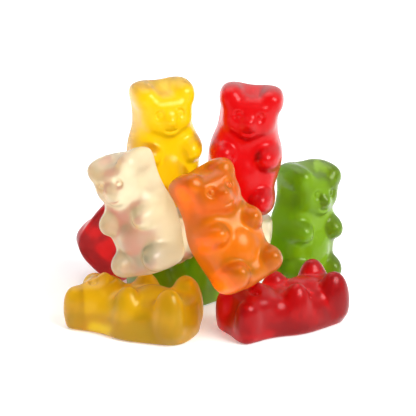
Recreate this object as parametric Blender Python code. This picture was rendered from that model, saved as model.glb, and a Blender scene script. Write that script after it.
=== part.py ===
"""A heap of ten gummy bears, each bear a solid of its own.

A bear is cast in a mould: its back is flat, a wall follows its outline, and its front swells
into a head, two arms, a belly and two legs. In a bear's own frame x runs to its left, -y to its
front and z up from its feet, in millimetres, and its flat back lies on y = 0.
"""
import math

import bmesh
import bpy
from mathutils import Euler, Matrix, Vector

MM = 0.001
NOTHING = 1e-6           # a length too short to have a direction

# One bear, in millimetres
HEIGHT = 21.5
SOLE_ROUND = 2.3         # rounding of the soles
CROWN_ROUND = 1.7        # rounding of the crown
END_SQUARENESS = 2.5     # of those roundings
WAIST_DEPTH = 1.8        # how far in front of the back the body is widest
BACK_SPARE = 1.0         # what the body reaches behind the back, before it is cut flat
SQUARENESS = 3.6         # of the body's cross section: 2 is an ellipse, more is boxier
DRAFT = 0.02             # share of its width that the wall loses for each millimetre forward
CROWN_DIP = 1.9          # of the front of the crown, between the ears
BACK_DIP = 0.2           # share of that dip that the back edge of the crown has
DIP_START = 17.0
DIP_HALF_WIDTH = 4.2

# Up the body: height, half width, depth of the wall
STATIONS = (
    (0.0, 3.9, 7.4),
    (2.5, 5.0, 7.6),
    (6.0, 5.75, 7.2),
    (9.4, 6.15, 7.1),
    (11.6, 5.85, 7.0),
    (13.8, 5.1, 6.9),
    (16.6, 4.85, 7.1),
    (19.3, 5.15, 7.1),
    (21.5, 5.0, 6.5),
)

# Swellings of the front: centre (x, z), radii (x, z), front, depth where widest,
# squareness of the side, squareness of the outline
SWELLINGS = {
    "face": ((0.0, 16.5), (4.6, 3.5), 8.1, 3.0, 3.4, 3.0),
    "brow": ((1.9, 18.2), (2.4, 1.5), 8.0, 4.0, 2.4, 2.0),
    "ear": ((3.2, 19.2), (2.1, 2.2), 7.4, 3.0, 2.9, 2.4),
    "muzzle": ((0.0, 15.3), (3.2, 3.2), 8.7, 4.5, 2.0, 2.0),
    "nose": ((0.0, 15.9), (1.9, 1.8), 9.45, 5.5, 2.0, 2.0),
    "arm": ((3.45, 10.2), (2.7, 2.65), 9.0, 3.5, 2.0, 2.1),
    "leg": ((3.3, 3.1), (2.6, 2.8), 9.7, 3.5, 2.1, 2.2),
    "belly": ((0.0, 7.0), (3.9, 4.4), 8.2, 3.0, 2.4, 2.0),
}
SWELLING_BACK = 0.4
SWELLING_BACK_SQUARENESS = 3.0
PAIRED = ("brow", "ear", "arm", "leg")

# How the parts of a bear are melted into one skin
VOXEL = 0.3
SOFTENING = 26
TRIANGLES = 880

# The middle of a bear, which its place in the heap is given for
MIDDLE = Vector((0.0, -4.5, 10.75))

COLOURS = {
    "yellow": (0.86, 0.58, 0.02),
    "red": (0.70, 0.01, 0.01),
    "green": (0.13, 0.38, 0.01),
    "orange": (0.87, 0.20, 0.01),
    "clear": (0.84, 0.66, 0.44),
}
ROUGHNESS = 0.3

# The heap: size against the standard bear (width, depth, height), turn about x, y and z in
# degrees, and the place of its middle in millimetres
BEARS = {
    "bear_yellow_standing": ((0.99, 1.0, 1.03), (-1.5, -2.5, 16.0), (-6.82, 5.2, 28.3)),
    "bear_red_standing": ((1.01, 1.0, 1.03), (-6.0, 6.0, -2.0), (6.32, 4.7, 27.7)),
    "bear_clear_leaning": ((0.98, 0.99, 0.97), (0.0, -22.0, -32.0), (-12.2, -6.4, 20.4)),
    "bear_orange_leaning": ((1.0, 1.0, 1.0), (-26.0, -13.0, 35.5), (3.2, -9.05, 19.55)),
    "bear_green_standing": ((0.97, 0.99, 1.0), (-0.5, 5.0, 38.0), (17.45, 15.0, 10.77)),
    "bear_yellow_lying": ((1.01, 0.99, 1.04), (-90.0, 0.0, 66.0), (-12.2, -5.6, 4.455)),
    "bear_red_lying": ((0.97, 0.95, 1.02), (-90.0, 0.0, 120.5), (12.5, -4.0, 4.275)),
    "bear_red_behind": ((1.03, 1.0, 0.99), (0.5, -44.0, 165.0), (-12.1, 17.0, 10.57)),
    "bear_green_under": ((0.975, 0.975, 0.975), (-90.0, 0.0, -66.0), (-2.95, 9.0, 4.3875)),
    "bear_clear_under": ((0.975, 0.975, 0.975), (86.6, -7.7, -89.0), (0.3, 4.15, 12.35)),
}


def between(stations, height):
    """Half width and depth of the body at a height, on a smooth curve through the stations."""
    last = len(stations) - 1
    lower = max(i for i in range(last) if stations[i][0] <= height or i == 0)
    ends = [stations[i] for i in (max(lower - 1, 0), lower, lower + 1, min(lower + 2, last))]
    before, start, end, after = ends
    span = end[0] - start[0]
    part = min(max((height - start[0]) / span, 0.0), 1.0)
    values = []
    for k in (1, 2):
        leaving = (end[k] - before[k]) / (end[0] - before[0]) * span
        arriving = (after[k] - start[k]) / (after[0] - start[0]) * span
        values.append(
            (2 * part**3 - 3 * part**2 + 1) * start[k]
            + (part**3 - 2 * part**2 + part) * leaving
            + (3 * part**2 - 2 * part**3) * end[k]
            + (part**3 - part**2) * arriving
        )
    return values


def squared(value, squareness):
    """A sine or cosine moved from a circle to a superellipse."""
    return math.copysign(abs(value) ** (2 / squareness), value)


def crown_dip(x, height, forward):
    """How far the crown sinks between the ears: little at its back edge, most at its front."""
    rise = min(max((height - DIP_START) / (HEIGHT - DIP_START), 0.0), 1.0)
    across = math.cos(min(abs(x) / DIP_HALF_WIDTH, 1.0) * math.pi / 2)
    slope = BACK_DIP + (1 - BACK_DIP) * min(max(forward, 0.0), 1.0) ** 1.5
    return CROWN_DIP * slope * rise**2 * (3 - 2 * rise) * across**2


def add_body(bm):
    """The wall and the plain front: a ball drawn out to the stations."""
    ball = bmesh.ops.create_uvsphere(bm, u_segments=64, v_segments=64, radius=1.0)
    for vert in ball["verts"]:
        x, y, z = vert.co
        height = HEIGHT * (1 + z) / 2
        half_width, depth = between(STATIONS, height)
        nearness = min(height / SOLE_ROUND, (HEIGHT - height) / CROWN_ROUND, 1.0)
        closing = (1 - (1 - nearness) ** END_SQUARENESS) ** (1 / END_SQUARENESS)
        radius = math.hypot(x, y)
        across, forward = (x / radius, -y / radius) if radius > NOTHING else (0.0, 0.0)
        reach = depth - WAIST_DEPTH if forward > 0 else WAIST_DEPTH + BACK_SPARE
        front = WAIST_DEPTH + reach * closing * squared(forward, SQUARENESS)
        narrowing = 1 - DRAFT * max(front - WAIST_DEPTH, 0.0)
        side = half_width * closing * squared(across, SQUARENESS) * narrowing
        vert.co = (side, -front, height - crown_dip(side, height, front / depth))


def add_swelling(bm, swelling, side):
    """One rounded swelling that rises from the back to its own front."""
    centre, radii, front, middle, squareness, outline = swelling
    ball = bmesh.ops.create_uvsphere(bm, u_segments=28, v_segments=20, radius=1.0)
    for vert in ball["verts"]:
        across, up, forward = vert.co
        power = squareness if forward > 0 else SWELLING_BACK_SQUARENESS
        reach = front - middle if forward > 0 else middle - SWELLING_BACK
        depth = middle + reach * squared(forward, power)
        radius = math.hypot(across, up)
        if radius > NOTHING:
            corner = (abs(across / radius) ** outline + abs(up / radius) ** outline) ** (1 / outline)
            spread = radius ** (2 / power) / radius / corner
            across, up = across * spread, up * spread
        vert.co = (side * (centre[0] + radii[0] * across), -depth, centre[1] + radii[1] * up)


def melted(bm, name):
    """The closed shapes of a bmesh as one smooth skin of few triangles."""
    mesh = bpy.data.meshes.new(name)
    bm.to_mesh(mesh)
    bm.free()
    parts = bpy.data.objects.new(name, mesh)
    bpy.context.scene.collection.objects.link(parts)
    remesh = parts.modifiers.new("one skin", "REMESH")
    remesh.mode = "VOXEL"
    remesh.voxel_size = VOXEL
    soften = parts.modifiers.new("soften", "SMOOTH")
    soften.factor = 0.5
    soften.iterations = SOFTENING
    fewer = parts.modifiers.new("fewer faces", "DECIMATE")
    fewer.ratio = 1.0
    fewer.use_collapse_triangulate = True
    faces = len(parts.evaluated_get(bpy.context.evaluated_depsgraph_get()).data.polygons)
    fewer.ratio = TRIANGLES / (2 * faces)
    skin = bpy.data.meshes.new_from_object(parts.evaluated_get(bpy.context.evaluated_depsgraph_get()))
    bpy.data.objects.remove(parts)
    bpy.data.meshes.remove(mesh)
    return skin


def cut_back_flat(bm):
    """Cuts the back off on y = 0 and closes it with one flat face."""
    bmesh.ops.bisect_plane(
        bm,
        geom=bm.verts[:] + bm.edges[:] + bm.faces[:],
        dist=1e-5,
        plane_co=(0, 0, 0),
        plane_no=(0, 1, 0),
        clear_outer=True,
    )
    rim = [edge for edge in bm.edges if edge.is_boundary]
    bmesh.ops.contextual_create(bm, geom=rim)
    bmesh.ops.recalc_face_normals(bm, faces=bm.faces)
    bmesh.ops.triangulate(bm, faces=bm.faces)


def standard_bear():
    """The bear as the mould gives it, in millimetres, as a mesh."""
    bm = bmesh.new()
    add_body(bm)
    for name, swelling in SWELLINGS.items():
        for side in (1, -1) if name in PAIRED else (1,):
            add_swelling(bm, swelling, side)
    bmesh.ops.recalc_face_normals(bm, faces=bm.faces)
    skin = melted(bm, "bear")
    bm = bmesh.new()
    bm.from_mesh(skin)
    cut_back_flat(bm)
    bm.to_mesh(skin)
    bm.free()
    return skin


def gummy(colour):
    """The plain material of one colour of bear."""
    material = bpy.data.materials.new(colour + "_gummy")
    material.use_nodes = True
    shader = material.node_tree.nodes["Principled BSDF"]
    shader.inputs["Base Color"].default_value = (*COLOURS[colour], 1.0)
    shader.inputs["Roughness"].default_value = ROUGHNESS
    shader.inputs["Metallic"].default_value = 0.0
    return material


def place_bear(name, skin, size, turn, place):
    """One bear of the heap, its origin at its middle."""
    mesh = skin.copy()
    mesh.name = name
    mesh.transform(Matrix.Diagonal(Vector(size) * MM).to_4x4() @ Matrix.Translation(-MIDDLE))
    mesh.shade_smooth()
    colour = name.split("_")[1]
    mesh.materials.append(bpy.data.materials.get(colour + "_gummy") or gummy(colour))
    bear = bpy.data.objects.new(name, mesh)
    bear.location = Vector(place) * MM
    bear.rotation_euler = Euler([math.radians(angle) for angle in turn])
    bpy.context.scene.collection.objects.link(bear)
    return bear


def stand_on_origin(bears):
    """Moves the heap so that the middle of its base is the origin."""
    corners = [bear.matrix_basis @ vert.co for bear in bears for vert in bear.data.vertices]
    low = Vector(min(corner[i] for corner in corners) for i in range(3))
    high = Vector(max(corner[i] for corner in corners) for i in range(3))
    base = Vector(((low.x + high.x) / 2, (low.y + high.y) / 2, low.z))
    for bear in bears:
        bear.location -= base


def main():
    for leftover in list(bpy.data.objects):
        bpy.data.objects.remove(leftover)
    skin = standard_bear()
    bears = [place_bear(name, skin, *spec) for name, spec in BEARS.items()]
    bpy.data.meshes.remove(skin)
    stand_on_origin(bears)


if __name__ == "__main__":
    main()
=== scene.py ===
"""A heap of ten gummy bears, each cast from one mould in its own colour of jelly.

A bear is first modelled upright in millimetres, in its own frame: x to its left, -y to its front
and z up from its feet, with its flat back on y = 0. It is then sized, turned and set down where
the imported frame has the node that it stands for.
"""
import math

import bmesh
import bpy
from mathutils import Euler, Matrix, Vector, noise


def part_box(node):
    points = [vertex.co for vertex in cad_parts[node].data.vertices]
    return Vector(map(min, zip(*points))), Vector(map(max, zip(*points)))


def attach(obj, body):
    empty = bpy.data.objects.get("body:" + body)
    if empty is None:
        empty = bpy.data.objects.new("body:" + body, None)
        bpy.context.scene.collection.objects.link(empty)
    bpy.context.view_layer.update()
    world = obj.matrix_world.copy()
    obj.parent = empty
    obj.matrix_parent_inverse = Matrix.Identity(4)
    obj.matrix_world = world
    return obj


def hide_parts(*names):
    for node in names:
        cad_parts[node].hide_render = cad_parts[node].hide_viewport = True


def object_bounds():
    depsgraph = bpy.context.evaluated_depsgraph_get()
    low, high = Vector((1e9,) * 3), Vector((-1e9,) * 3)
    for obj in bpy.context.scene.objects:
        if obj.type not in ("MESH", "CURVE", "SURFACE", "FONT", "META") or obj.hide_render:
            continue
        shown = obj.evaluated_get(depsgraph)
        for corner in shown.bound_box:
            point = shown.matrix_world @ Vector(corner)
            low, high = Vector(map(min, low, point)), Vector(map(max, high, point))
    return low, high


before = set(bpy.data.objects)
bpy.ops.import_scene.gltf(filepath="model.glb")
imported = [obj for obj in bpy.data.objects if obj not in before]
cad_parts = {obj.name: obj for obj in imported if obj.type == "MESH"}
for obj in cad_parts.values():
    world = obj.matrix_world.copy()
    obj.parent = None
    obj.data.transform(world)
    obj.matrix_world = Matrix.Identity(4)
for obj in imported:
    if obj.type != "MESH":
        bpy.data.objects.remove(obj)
CAD_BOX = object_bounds()

bl_info = {
    "name": "Gummy Bear Heap",
    "version": (1, 0, 0),
    "blender": (4, 5, 0),
    "location": "View3D > Sidebar > Gummy Bears",
    "description": "Models a heap of gummy bears and the studio that it stands in",
    "category": "Add Mesh",
}

MM = 0.001
NOTHING = 1e-6

# The body of a bear, in millimetres
HEIGHT = 21.5
SOLE_ROUND = 2.3         # rounding of the soles
CROWN_ROUND = 1.7        # rounding of the crown
END_SQUARENESS = 2.5     # of those roundings
WAIST_DEPTH = 1.8        # how far in front of the back the body is widest
BACK_SPARE = 1.0         # what the body reaches behind the back, before it is cut flat
SQUARENESS = 3.6         # of the body's cross section: 2 is an ellipse, more is boxier
DRAFT = 0.02             # share of its width that the wall loses for each millimetre forward
DIP_START = 17.0
DIP_HALF_WIDTH = 4.2
BACK_DIP = 0.2           # share of the crown's dip that its back edge has

# Up the body: height, half width, depth of the wall
STATIONS = (
    (0.0, 3.9, 7.4),
    (2.5, 5.0, 7.6),
    (6.0, 5.75, 7.2),
    (9.4, 6.15, 7.1),
    (11.6, 5.85, 7.0),
    (13.8, 5.1, 6.9),
    (16.6, 4.85, 7.1),
    (19.3, 5.15, 7.1),
    (21.5, 5.0, 6.5),
)

# Swellings of the front: centre (x, z), radii (x, z), front, depth where widest,
# squareness of the side, squareness of the outline
SWELLINGS = {
    "face": ((0.0, 16.5), (4.6, 3.5), 8.1, 3.0, 3.4, 3.0),
    "brow": ((1.9, 18.2), (2.4, 1.5), 8.0, 4.0, 2.4, 2.0),
    "ear": ((3.2, 19.2), (2.1, 2.2), 7.4, 3.0, 2.9, 2.4),
    "muzzle": ((0.0, 15.3), (3.2, 3.2), 8.7, 4.5, 2.0, 2.0),
    "nose": ((0.0, 15.9), (1.9, 1.8), 9.45, 5.5, 2.0, 2.0),
    "arm": ((3.45, 10.2), (2.7, 2.65), 9.0, 3.5, 2.0, 2.1),
    "leg": ((3.3, 3.1), (2.6, 2.8), 9.7, 3.5, 2.1, 2.2),
    "belly": ((0.0, 7.0), (3.9, 4.4), 8.2, 3.0, 2.4, 2.0),
}
SWELLING_BACK = 0.4
SWELLING_BACK_SQUARENESS = 3.0
PAIRED = ("brow", "ear", "arm", "leg")

# How the parts of a bear are melted into one skin
VOXEL = 0.22
SOFTENING = 60
LATER_SOFTENING = 3

# The features pressed into the face: places (x, z)
FACE_DEPTH = 6.5         # the features only reach skin that lies this far forward
EYE = Vector((1.75, 17.0))
MOUTH_HEIGHT = 14.2

# The middle of a bear
MIDDLE = Vector((0.0, -4.5, 10.75))

# Every bear: colour, size against the standard bear (width, depth, height), turn about x, y
# and z in degrees
BEARS = {
    "bear_yellow_standing": ("yellow", (0.99, 1.0, 1.03), (-1.5, -2.5, 16.0)),
    "bear_red_standing": ("red", (1.01, 1.0, 1.03), (-6.0, 6.0, -2.0)),
    "bear_clear_leaning": ("clear", (0.98, 0.99, 0.97), (0.0, -22.0, -32.0)),
    "bear_orange_leaning": ("orange", (1.0, 1.0, 1.0), (-26.0, -13.0, 35.5)),
    "bear_green_standing": ("green", (0.97, 0.99, 1.0), (-0.5, 5.0, 38.0)),
    "bear_yellow_lying": ("yellow", (1.01, 0.99, 1.04), (-90.0, 0.0, 66.0)),
    "bear_red_lying": ("red", (0.97, 0.95, 1.02), (-90.0, 0.0, 120.5)),
    "bear_red_behind": ("red", (1.03, 1.0, 0.99), (0.5, -44.0, 165.0)),
    "bear_green_under": ("green", (0.975, 0.975, 0.975), (-90.0, 0.0, -66.0)),
    "bear_clear_under": ("clear", (0.975, 0.975, 0.975), (86.6, -7.7, -89.0)),
}

UNEVEN = 0.14            # how far a bear's skin strays from the mould
UNEVEN_REACH = 6.0       # over what distance


class MouldSizes(bpy.types.PropertyGroup):
    """Sizes of the mould that a user would change."""

    crown_dip: bpy.props.FloatProperty(
        name="Crown dip",
        description="How far the crown sinks between the ears",
        default=1.9 * MM,
        min=0.0,
        subtype="DISTANCE",
        unit="LENGTH",
    )
    eye_radius: bpy.props.FloatProperty(
        name="Eye radius",
        description="Radius of the small ball in each eye socket",
        default=0.36 * MM,
        min=0.0,
        subtype="DISTANCE",
        unit="LENGTH",
    )
    eye_depth: bpy.props.FloatProperty(
        name="Eye socket depth",
        description="How deep the eye sockets are pressed in",
        default=0.45 * MM,
        min=0.0,
        subtype="DISTANCE",
        unit="LENGTH",
    )
    mouth_width: bpy.props.FloatProperty(
        name="Mouth width",
        description="Width of the smile from corner to corner",
        default=2.5 * MM,
        min=0.0,
        subtype="DISTANCE",
        unit="LENGTH",
    )
    mouth_depth: bpy.props.FloatProperty(
        name="Mouth depth",
        description="Depth of the groove of the smile",
        default=0.28 * MM,
        min=0.0,
        subtype="DISTANCE",
        unit="LENGTH",
    )


def colour_property(name, description, default):
    return bpy.props.FloatVectorProperty(
        name=name, description=description, default=default, size=3, min=0.0, max=1.0, subtype="COLOR"
    )


class JellyColours(bpy.types.PropertyGroup):
    """What is left of white light after it has crossed a bear."""

    yellow: colour_property("Yellow", "Colour of the yellow jelly", (0.95, 0.60, 0.001))
    red: colour_property("Red", "Colour of the red jelly", (0.68, 0.001, 0.002))
    green: colour_property("Green", "Colour of the green jelly", (0.21, 0.39, 0.003))
    orange: colour_property("Orange", "Colour of the orange jelly", (0.95, 0.24, 0.0005))
    clear: colour_property("Clear", "Colour of the uncoloured jelly", (0.96, 0.85, 0.59))
    roughness: bpy.props.FloatProperty(
        name="Roughness", description="Softness of what shows through the jelly", default=0.34, min=0.0, max=1.0
    )


class StudioSettings(bpy.types.PropertyGroup):
    """The floor and the light."""

    floor: colour_property("Floor", "Colour of the floor", (0.9, 0.9, 0.9))
    daylight: bpy.props.FloatProperty(
        name="Surround", description="Brightness of the white surround", default=0.74, min=0.0
    )
    lamp_power: bpy.props.FloatProperty(
        name="Lamp power",
        description="Power of the large soft lamp",
        default=5.0,
        min=0.0,
        subtype="POWER",
        unit="POWER",
    )


# ---------------------------------------------------------------- the mould


def between(stations, height):
    """Half width and depth of the body at a height, on a smooth curve through the stations."""
    last = len(stations) - 1
    lower = max(i for i in range(last) if stations[i][0] <= height or i == 0)
    ends = [stations[i] for i in (max(lower - 1, 0), lower, lower + 1, min(lower + 2, last))]
    before, start, end, after = ends
    span = end[0] - start[0]
    part = min(max((height - start[0]) / span, 0.0), 1.0)
    values = []
    for k in (1, 2):
        leaving = (end[k] - before[k]) / (end[0] - before[0]) * span
        arriving = (after[k] - start[k]) / (after[0] - start[0]) * span
        values.append(
            (2 * part**3 - 3 * part**2 + 1) * start[k]
            + (part**3 - 2 * part**2 + part) * leaving
            + (3 * part**2 - 2 * part**3) * end[k]
            + (part**3 - part**2) * arriving
        )
    return values


def squared(value, squareness):
    """A sine or cosine moved from a circle to a superellipse."""
    return math.copysign(abs(value) ** (2 / squareness), value)


def crown_dip(x, height, forward, dip):
    """How far the crown sinks between the ears: little at its back edge, most at its front."""
    rise = min(max((height - DIP_START) / (HEIGHT - DIP_START), 0.0), 1.0)
    across = math.cos(min(abs(x) / DIP_HALF_WIDTH, 1.0) * math.pi / 2)
    slope = BACK_DIP + (1 - BACK_DIP) * min(max(forward, 0.0), 1.0) ** 1.5
    return dip * slope * rise**2 * (3 - 2 * rise) * across**2


def add_body(bm, dip):
    """The wall and the plain front: a ball drawn out to the stations, its back cut flat."""
    ball = bmesh.ops.create_uvsphere(bm, u_segments=72, v_segments=72, radius=1.0)
    for vert in ball["verts"]:
        x, y, z = vert.co
        height = HEIGHT * (1 + z) / 2
        half_width, depth = between(STATIONS, height)
        nearness = min(height / SOLE_ROUND, (HEIGHT - height) / CROWN_ROUND, 1.0)
        closing = (1 - (1 - nearness) ** END_SQUARENESS) ** (1 / END_SQUARENESS)
        radius = math.hypot(x, y)
        across, forward = (x / radius, -y / radius) if radius > NOTHING else (0.0, 0.0)
        reach = depth - WAIST_DEPTH if forward > 0 else WAIST_DEPTH + BACK_SPARE
        front = WAIST_DEPTH + reach * closing * squared(forward, SQUARENESS)
        narrowing = 1 - DRAFT * max(front - WAIST_DEPTH, 0.0)
        side = half_width * closing * squared(across, SQUARENESS) * narrowing
        vert.co = (side, -front, height - crown_dip(side, height, front / depth, dip))
    geometry = bm.verts[:] + bm.edges[:] + bm.faces[:]
    bmesh.ops.bisect_plane(bm, geom=geometry, dist=NOTHING, plane_co=(0, 0, 0), plane_no=(0, 1, 0), clear_outer=True)
    rim = [edge for edge in bm.edges if edge.is_boundary]
    bmesh.ops.contextual_create(bm, geom=rim)


def add_swelling(bm, swelling, side):
    """One rounded swelling that rises from the back to its own front."""
    centre, radii, front, middle, squareness, outline = swelling
    ball = bmesh.ops.create_uvsphere(bm, u_segments=36, v_segments=24, radius=1.0)
    for vert in ball["verts"]:
        across, up, forward = vert.co
        power = squareness if forward > 0 else SWELLING_BACK_SQUARENESS
        reach = front - middle if forward > 0 else middle - SWELLING_BACK
        depth = middle + reach * squared(forward, power)
        radius = math.hypot(across, up)
        if radius > NOTHING:
            corner = (abs(across / radius) ** outline + abs(up / radius) ** outline) ** (1 / outline)
            spread = radius ** (2 / power) / radius / corner
            across, up = across * spread, up * spread
        vert.co = (side * (centre[0] + radii[0] * across), -depth, centre[1] + radii[1] * up)


def melted(bm, name):
    """The closed shapes of a bmesh as one smooth skin."""
    mesh = bpy.data.meshes.new(name)
    bm.to_mesh(mesh)
    bm.free()
    parts = bpy.data.objects.new(name, mesh)
    bpy.context.scene.collection.objects.link(parts)
    remesh = parts.modifiers.new("one skin", "REMESH")
    remesh.mode = "VOXEL"
    remesh.voxel_size = VOXEL
    soften = parts.modifiers.new("soften", "SMOOTH")
    soften.factor = 0.5
    soften.iterations = SOFTENING
    skin = bpy.data.meshes.new_from_object(parts.evaluated_get(bpy.context.evaluated_depsgraph_get()))
    bpy.data.objects.remove(parts)
    bpy.data.meshes.remove(mesh)
    skin.name = name
    return skin


def bell(distance, width):
    """A soft bump: 1 at no distance, 0 far away."""
    return math.exp(-((distance / width) ** 2))


def face_relief(x, z, sizes):
    """How far the skin of the face stands out at (x, z), in millimetres; inward is negative."""
    ball = sizes.eye_radius / MM
    socket = sizes.eye_depth / MM
    half_mouth = sizes.mouth_width / MM / 2
    relief = 0.0
    away = math.hypot(abs(x) - EYE.x, z - EYE.y)
    relief -= socket * bell(away - 1.3 * ball, 0.75 * ball)
    relief += 0.3 * socket * bell(away, 0.9 * ball)
    across = min(abs(x) / half_mouth, 1.0)
    if across < 1.0:
        smile = MOUTH_HEIGHT + 0.35 * across**2
        fade = (1 - across**2) ** 0.5
        relief -= sizes.mouth_depth / MM * fade * bell(z - smile, 0.24)
        relief += 0.45 * sizes.mouth_depth / MM * fade * bell(z - smile + 0.62, 0.34)
    return relief


def press_face(bm, sizes):
    """Presses the eyes and the smile into the front of the head."""
    for vert in bm.verts:
        x, y, z = vert.co
        if z > 12.0 and -y > FACE_DEPTH and abs(x) < 4.0:
            vert.co.y -= face_relief(x, z, sizes)


def moulded_bear(sizes):
    """The bear as the mould gives it, made once and kept as a mesh."""
    kept = bpy.data.meshes.get("moulded_bear")
    if kept:
        return kept
    bm = bmesh.new()
    add_body(bm, sizes.crown_dip / MM)
    for name, swelling in SWELLINGS.items():
        for side in (1, -1) if name in PAIRED else (1,):
            add_swelling(bm, swelling, side)
    bmesh.ops.recalc_face_normals(bm, faces=bm.faces)
    skin = melted(bm, "moulded_bear")
    bm = bmesh.new()
    bm.from_mesh(skin)
    press_face(bm, sizes)
    for _ in range(LATER_SOFTENING):
        bmesh.ops.smooth_vert(bm, verts=bm.verts, factor=0.3, use_axis_x=True, use_axis_y=True, use_axis_z=True)
    bm.to_mesh(skin)
    bm.free()
    return skin


def cast_bear(node, sizes):
    """One bear in the place of a node of the frame, its skin a little uneven in its own way."""
    colour, size, turn = BEARS[node]
    bm = bmesh.new()
    bm.from_mesh(moulded_bear(sizes))
    own = Vector((7.3, 3.1, 5.7)) * list(BEARS).index(node)
    for vert in bm.verts:
        stray = noise.noise_vector(vert.co / UNEVEN_REACH + own) * UNEVEN
        stray.y *= min(-vert.co.y / 2.0, 1.0)
        vert.co += stray
    turned = Euler([math.radians(angle) for angle in turn]).to_matrix().to_4x4()
    sized = Matrix.Diagonal(Vector(size) * MM).to_4x4()
    bm.transform(turned @ sized @ Matrix.Translation(-MIDDLE))
    low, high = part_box(node)
    lowest = [min(vert.co[i] for vert in bm.verts) for i in range(3)]
    highest = [max(vert.co[i] for vert in bm.verts) for i in range(3)]
    shift = Vector((low[i] + high[i] - lowest[i] - highest[i]) / 2 for i in range(3))
    shift.z = low[2] - lowest[2]
    bm.transform(Matrix.Translation(shift))
    name = node.replace("bear_", "jelly_")
    mesh = bpy.data.meshes.new(name)
    bm.to_mesh(mesh)
    bm.free()
    mesh.shade_smooth()
    piece = bpy.data.objects.new(name, mesh)
    bpy.context.scene.collection.objects.link(piece)
    return piece, colour


# ---------------------------------------------------------------- the jelly


CROSSING = 10.0 * MM     # the depth of jelly that gives its colour

# How much of a colour is in the skin, and how much is in the depth
SKIN_SHARE = 0.65
DEPTH_SHARE = 0.7


# The share of the light that a jelly scatters instead of letting it through.
CLOUDINESS = {"yellow": 0.2, "red": 0.14, "clear": 0.2, "orange": 0.2, "green": 0.16}


def jelly(colour, settings):
    """Soft see-through jelly whose colour deepens with its thickness."""
    name = colour + "_jelly"
    if name in bpy.data.materials:
        return bpy.data.materials[name]
    through = [max(value, 0.0005) for value in getattr(settings, colour)]
    material = bpy.data.materials.new(name)
    material.use_nodes = True
    nodes = material.node_tree.nodes
    links = material.node_tree.links
    shader = nodes["Principled BSDF"]
    output = nodes["Material Output"]
    skin = [value**SKIN_SHARE for value in through]

    place = nodes.new("ShaderNodeTexCoord")
    cloud = nodes.new("ShaderNodeTexNoise")
    cloud.inputs["Scale"].default_value = 190.0
    cloud.inputs["Detail"].default_value = 2.0
    links.new(place.outputs["Object"], cloud.inputs["Vector"])
    tint = nodes.new("ShaderNodeMix")
    tint.data_type = "RGBA"
    tint.inputs["A"].default_value = (*[value**1.12 for value in skin], 1.0)
    tint.inputs["B"].default_value = (*[value**0.9 for value in skin], 1.0)
    links.new(cloud.outputs["Fac"], tint.inputs["Factor"])
    links.new(tint.outputs["Result"], shader.inputs["Base Color"])

    patches = nodes.new("ShaderNodeTexNoise")
    patches.inputs["Scale"].default_value = 420.0
    patches.inputs["Detail"].default_value = 3.0
    links.new(place.outputs["Object"], patches.inputs["Vector"])
    gloss = nodes.new("ShaderNodeMapRange")
    gloss.inputs["From Min"].default_value = 0.3
    gloss.inputs["From Max"].default_value = 0.7
    gloss.inputs["To Min"].default_value = settings.roughness - 0.04
    gloss.inputs["To Max"].default_value = settings.roughness + 0.06
    links.new(patches.outputs["Fac"], gloss.inputs["Value"])
    links.new(gloss.outputs["Result"], shader.inputs["Roughness"])

    grain = nodes.new("ShaderNodeTexNoise")
    grain.inputs["Scale"].default_value = 600.0
    grain.inputs["Detail"].default_value = 1.0
    links.new(place.outputs["Object"], grain.inputs["Vector"])
    bump = nodes.new("ShaderNodeBump")
    bump.inputs["Strength"].default_value = 0.25
    bump.inputs["Distance"].default_value = 0.00006
    links.new(grain.outputs["Fac"], bump.inputs["Height"])
    links.new(bump.outputs["Normal"], shader.inputs["Normal"])

    shader.inputs["Metallic"].default_value = 0.0
    shader.inputs["IOR"].default_value = 1.42
    shader.inputs["Transmission Weight"].default_value = 1 - CLOUDINESS[colour]
    shader.inputs["Specular IOR Level"].default_value = 0.25
    shader.inputs["Specular Tint"].default_value = (*[value**0.5 for value in through], 1.0)
    shader.inputs["Coat Weight"].default_value = 0.5
    shader.inputs["Coat Roughness"].default_value = 0.25
    shader.inputs["Coat IOR"].default_value = 1.4

    depth = nodes.new("ShaderNodeVolumeAbsorption")
    loss = [-math.log(value) * DEPTH_SHARE / CROSSING for value in through]
    densest = max(loss)
    depth.inputs["Color"].default_value = (*[1 - value / densest for value in loss], 1.0)
    depth.inputs["Density"].default_value = densest
    links.new(depth.outputs["Volume"], output.inputs["Volume"])
    return material


def make_bears(context, nodes):
    """Casts the bears of these nodes and puts them into the frame."""
    scene = context.scene
    for node in nodes:
        piece, colour = cast_bear(node, scene.mould_sizes)
        if not piece.data.polygons:
            raise RuntimeError("no skin was made for " + node)
        piece.data.materials.append(jelly(colour, scene.jelly_colours))
        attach(piece, "root")
        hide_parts(node)
    return {"FINISHED"}


class GUMMY_OT_yellow_bears(bpy.types.Operator):
    """Model the yellow bears"""

    bl_idname = "gummy.yellow_bears"
    bl_label = "Yellow Bears"

    def execute(self, context):
        return make_bears(context, ("bear_yellow_standing", "bear_yellow_lying"))


class GUMMY_OT_red_bears(bpy.types.Operator):
    """Model the red bears"""

    bl_idname = "gummy.red_bears"
    bl_label = "Red Bears"

    def execute(self, context):
        return make_bears(context, ("bear_red_standing", "bear_red_lying", "bear_red_behind"))


class GUMMY_OT_clear_bears(bpy.types.Operator):
    """Model the uncoloured bears"""

    bl_idname = "gummy.clear_bears"
    bl_label = "Clear Bears"

    def execute(self, context):
        return make_bears(context, ("bear_clear_leaning", "bear_clear_under"))


class GUMMY_OT_orange_bear(bpy.types.Operator):
    """Model the orange bear"""

    bl_idname = "gummy.orange_bear"
    bl_label = "Orange Bear"

    def execute(self, context):
        return make_bears(context, ("bear_orange_leaning",))


class GUMMY_OT_green_bears(bpy.types.Operator):
    """Model the green bears"""

    bl_idname = "gummy.green_bears"
    bl_label = "Green Bears"

    def execute(self, context):
        return make_bears(context, ("bear_green_standing", "bear_green_under"))


# ---------------------------------------------------------------- the studio

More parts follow.
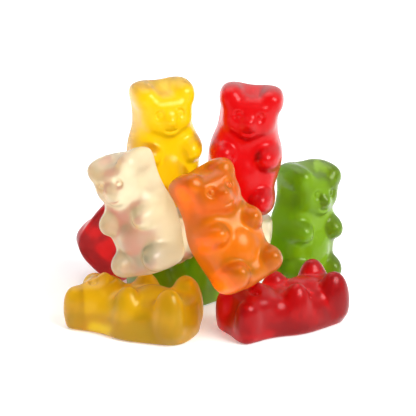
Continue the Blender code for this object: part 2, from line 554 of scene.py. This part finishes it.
VIEW_ELEVATION = 20.0
VIEW_DISTANCE = 450.0 * MM
VIEW_LENS = 235.6
FLOOR_SIZE = 6.0

# Lamps: where it stands from the heap's middle, its width, its share of the power
LAMPS = {
    "lamp right": ((0.52, -0.42, 0.60), 0.55, 1.8),
    "lamp above": ((-0.20, 0.35, 0.90), 1.00, 0.7),
}


def add_floor(colour):
    bm = bmesh.new()
    bmesh.ops.create_grid(bm, x_segments=1, y_segments=1, size=FLOOR_SIZE / 2)
    mesh = bpy.data.meshes.new("floor")
    bm.to_mesh(mesh)
    bm.free()
    floor = bpy.data.objects.new("floor", mesh)
    bpy.context.scene.collection.objects.link(floor)
    material = bpy.data.materials.new("floor")
    material.use_nodes = True
    shader = material.node_tree.nodes["Principled BSDF"]
    shader.inputs["Base Color"].default_value = (*colour, 1.0)
    shader.inputs["Roughness"].default_value = 0.9
    shader.inputs["Specular IOR Level"].default_value = 0.1
    shader.inputs["Emission Color"].default_value = (1.0, 1.0, 1.0, 1.0)
    shader.inputs["Emission Strength"].default_value = 0.3
    mesh.materials.append(material)


def add_lamp(name, aim, offset, width, power):
    light = bpy.data.lights.new(name, "AREA")
    light.shape = "DISK"
    light.size = width
    light.energy = power
    lamp = bpy.data.objects.new(name, light)
    lamp.location = aim + Vector(offset)
    lamp.rotation_euler = (aim - lamp.location).to_track_quat("-Z", "Y").to_euler()
    lamp.visible_camera = False
    bpy.context.scene.collection.objects.link(lamp)


def add_surround(brightness):
    world = bpy.data.worlds.new("surround")
    world.use_nodes = True
    nodes = world.node_tree.nodes
    links = world.node_tree.links
    background = nodes["Background"]
    background.inputs["Color"].default_value = (1.0, 1.0, 1.0, 1.0)
    place = nodes.new("ShaderNodeTexCoord")
    ways = nodes.new("ShaderNodeSeparateXYZ")
    links.new(place.outputs["Object"], ways.inputs["Vector"])
    lit = nodes.new("ShaderNodeMapRange")
    lit.interpolation_type = "SMOOTHSTEP"
    lit.inputs["From Min"].default_value = -0.6
    lit.inputs["From Max"].default_value = 0.5
    lit.inputs["To Min"].default_value = 0.3 * brightness
    lit.inputs["To Max"].default_value = brightness
    links.new(ways.outputs["Y"], lit.inputs["Value"])
    path = nodes.new("ShaderNodeLightPath")
    strength = nodes.new("ShaderNodeMapRange")
    strength.inputs["To Max"].default_value = 1.05
    links.new(path.outputs["Is Camera Ray"], strength.inputs["Value"])
    links.new(lit.outputs["Result"], strength.inputs["To Min"])
    links.new(strength.outputs["Result"], background.inputs["Strength"])
    bpy.context.scene.world = world


def add_camera(aim):
    camera = bpy.data.cameras.new("camera")
    camera.lens = VIEW_LENS
    camera.clip_start = 0.01
    camera.clip_end = 20.0
    view = bpy.data.objects.new("camera", camera)
    slope = math.radians(VIEW_ELEVATION)
    view.location = aim + Vector((0.0, -math.cos(slope), math.sin(slope))) * VIEW_DISTANCE
    view.rotation_euler = (math.pi / 2 - slope, 0.0, 0.0)
    bpy.context.scene.collection.objects.link(view)
    bpy.context.scene.camera = view


class GUMMY_OT_stage(bpy.types.Operator):
    """Set up the floor, the light and the camera"""

    bl_idname = "gummy.stage"
    bl_label = "Studio"

    def execute(self, context):
        studio = context.scene.studio_settings
        low, high = CAD_BOX
        aim = Vector(((low[0] + high[0]) / 2 + 0.14 * MM, (low[1] + high[1]) / 2 - 3.4 * MM, 19.2 * MM))
        add_floor(studio.floor)
        add_surround(studio.daylight)
        for name, (offset, width, share) in LAMPS.items():
            add_lamp(name, aim, offset, width, studio.lamp_power * share)
        add_camera(aim)
        context.scene.view_settings.view_transform = "Standard"
        return {"FINISHED"}


class GUMMY_PT_heap(bpy.types.Panel):
    """The heap's settings and the buttons that model it"""

    bl_label = "Gummy Bear Heap"
    bl_idname = "GUMMY_PT_heap"
    bl_space_type = "VIEW_3D"
    bl_region_type = "UI"
    bl_category = "Gummy Bears"

    def draw(self, context):
        layout = self.layout
        scene = context.scene
        for settings in (scene.mould_sizes, scene.jelly_colours, scene.studio_settings):
            box = layout.box()
            for name in settings.__annotations__:
                box.prop(settings, name)
        for operator in OPERATORS:
            layout.operator(operator.bl_idname)


SETTINGS = {
    "mould_sizes": MouldSizes,
    "jelly_colours": JellyColours,
    "studio_settings": StudioSettings,
}
OPERATORS = (
    GUMMY_OT_yellow_bears,
    GUMMY_OT_red_bears,
    GUMMY_OT_clear_bears,
    GUMMY_OT_orange_bear,
    GUMMY_OT_green_bears,
    GUMMY_OT_stage,
)


def register():
    for name, group in SETTINGS.items():
        bpy.utils.register_class(group)
        setattr(bpy.types.Scene, name, bpy.props.PointerProperty(type=group))
    for operator in OPERATORS:
        bpy.utils.register_class(operator)
    bpy.utils.register_class(GUMMY_PT_heap)


def unregister():
    bpy.utils.unregister_class(GUMMY_PT_heap)
    for operator in reversed(OPERATORS):
        bpy.utils.unregister_class(operator)
    for name, group in SETTINGS.items():
        delattr(bpy.types.Scene, name)
        bpy.utils.unregister_class(group)


def main():
    register()
    bpy.ops.gummy.yellow_bears()
    bpy.ops.gummy.red_bears()
    bpy.ops.gummy.clear_bears()
    bpy.ops.gummy.orange_bear()
    bpy.ops.gummy.green_bears()
    bpy.ops.gummy.stage()


if __name__ == "__main__":
    main()
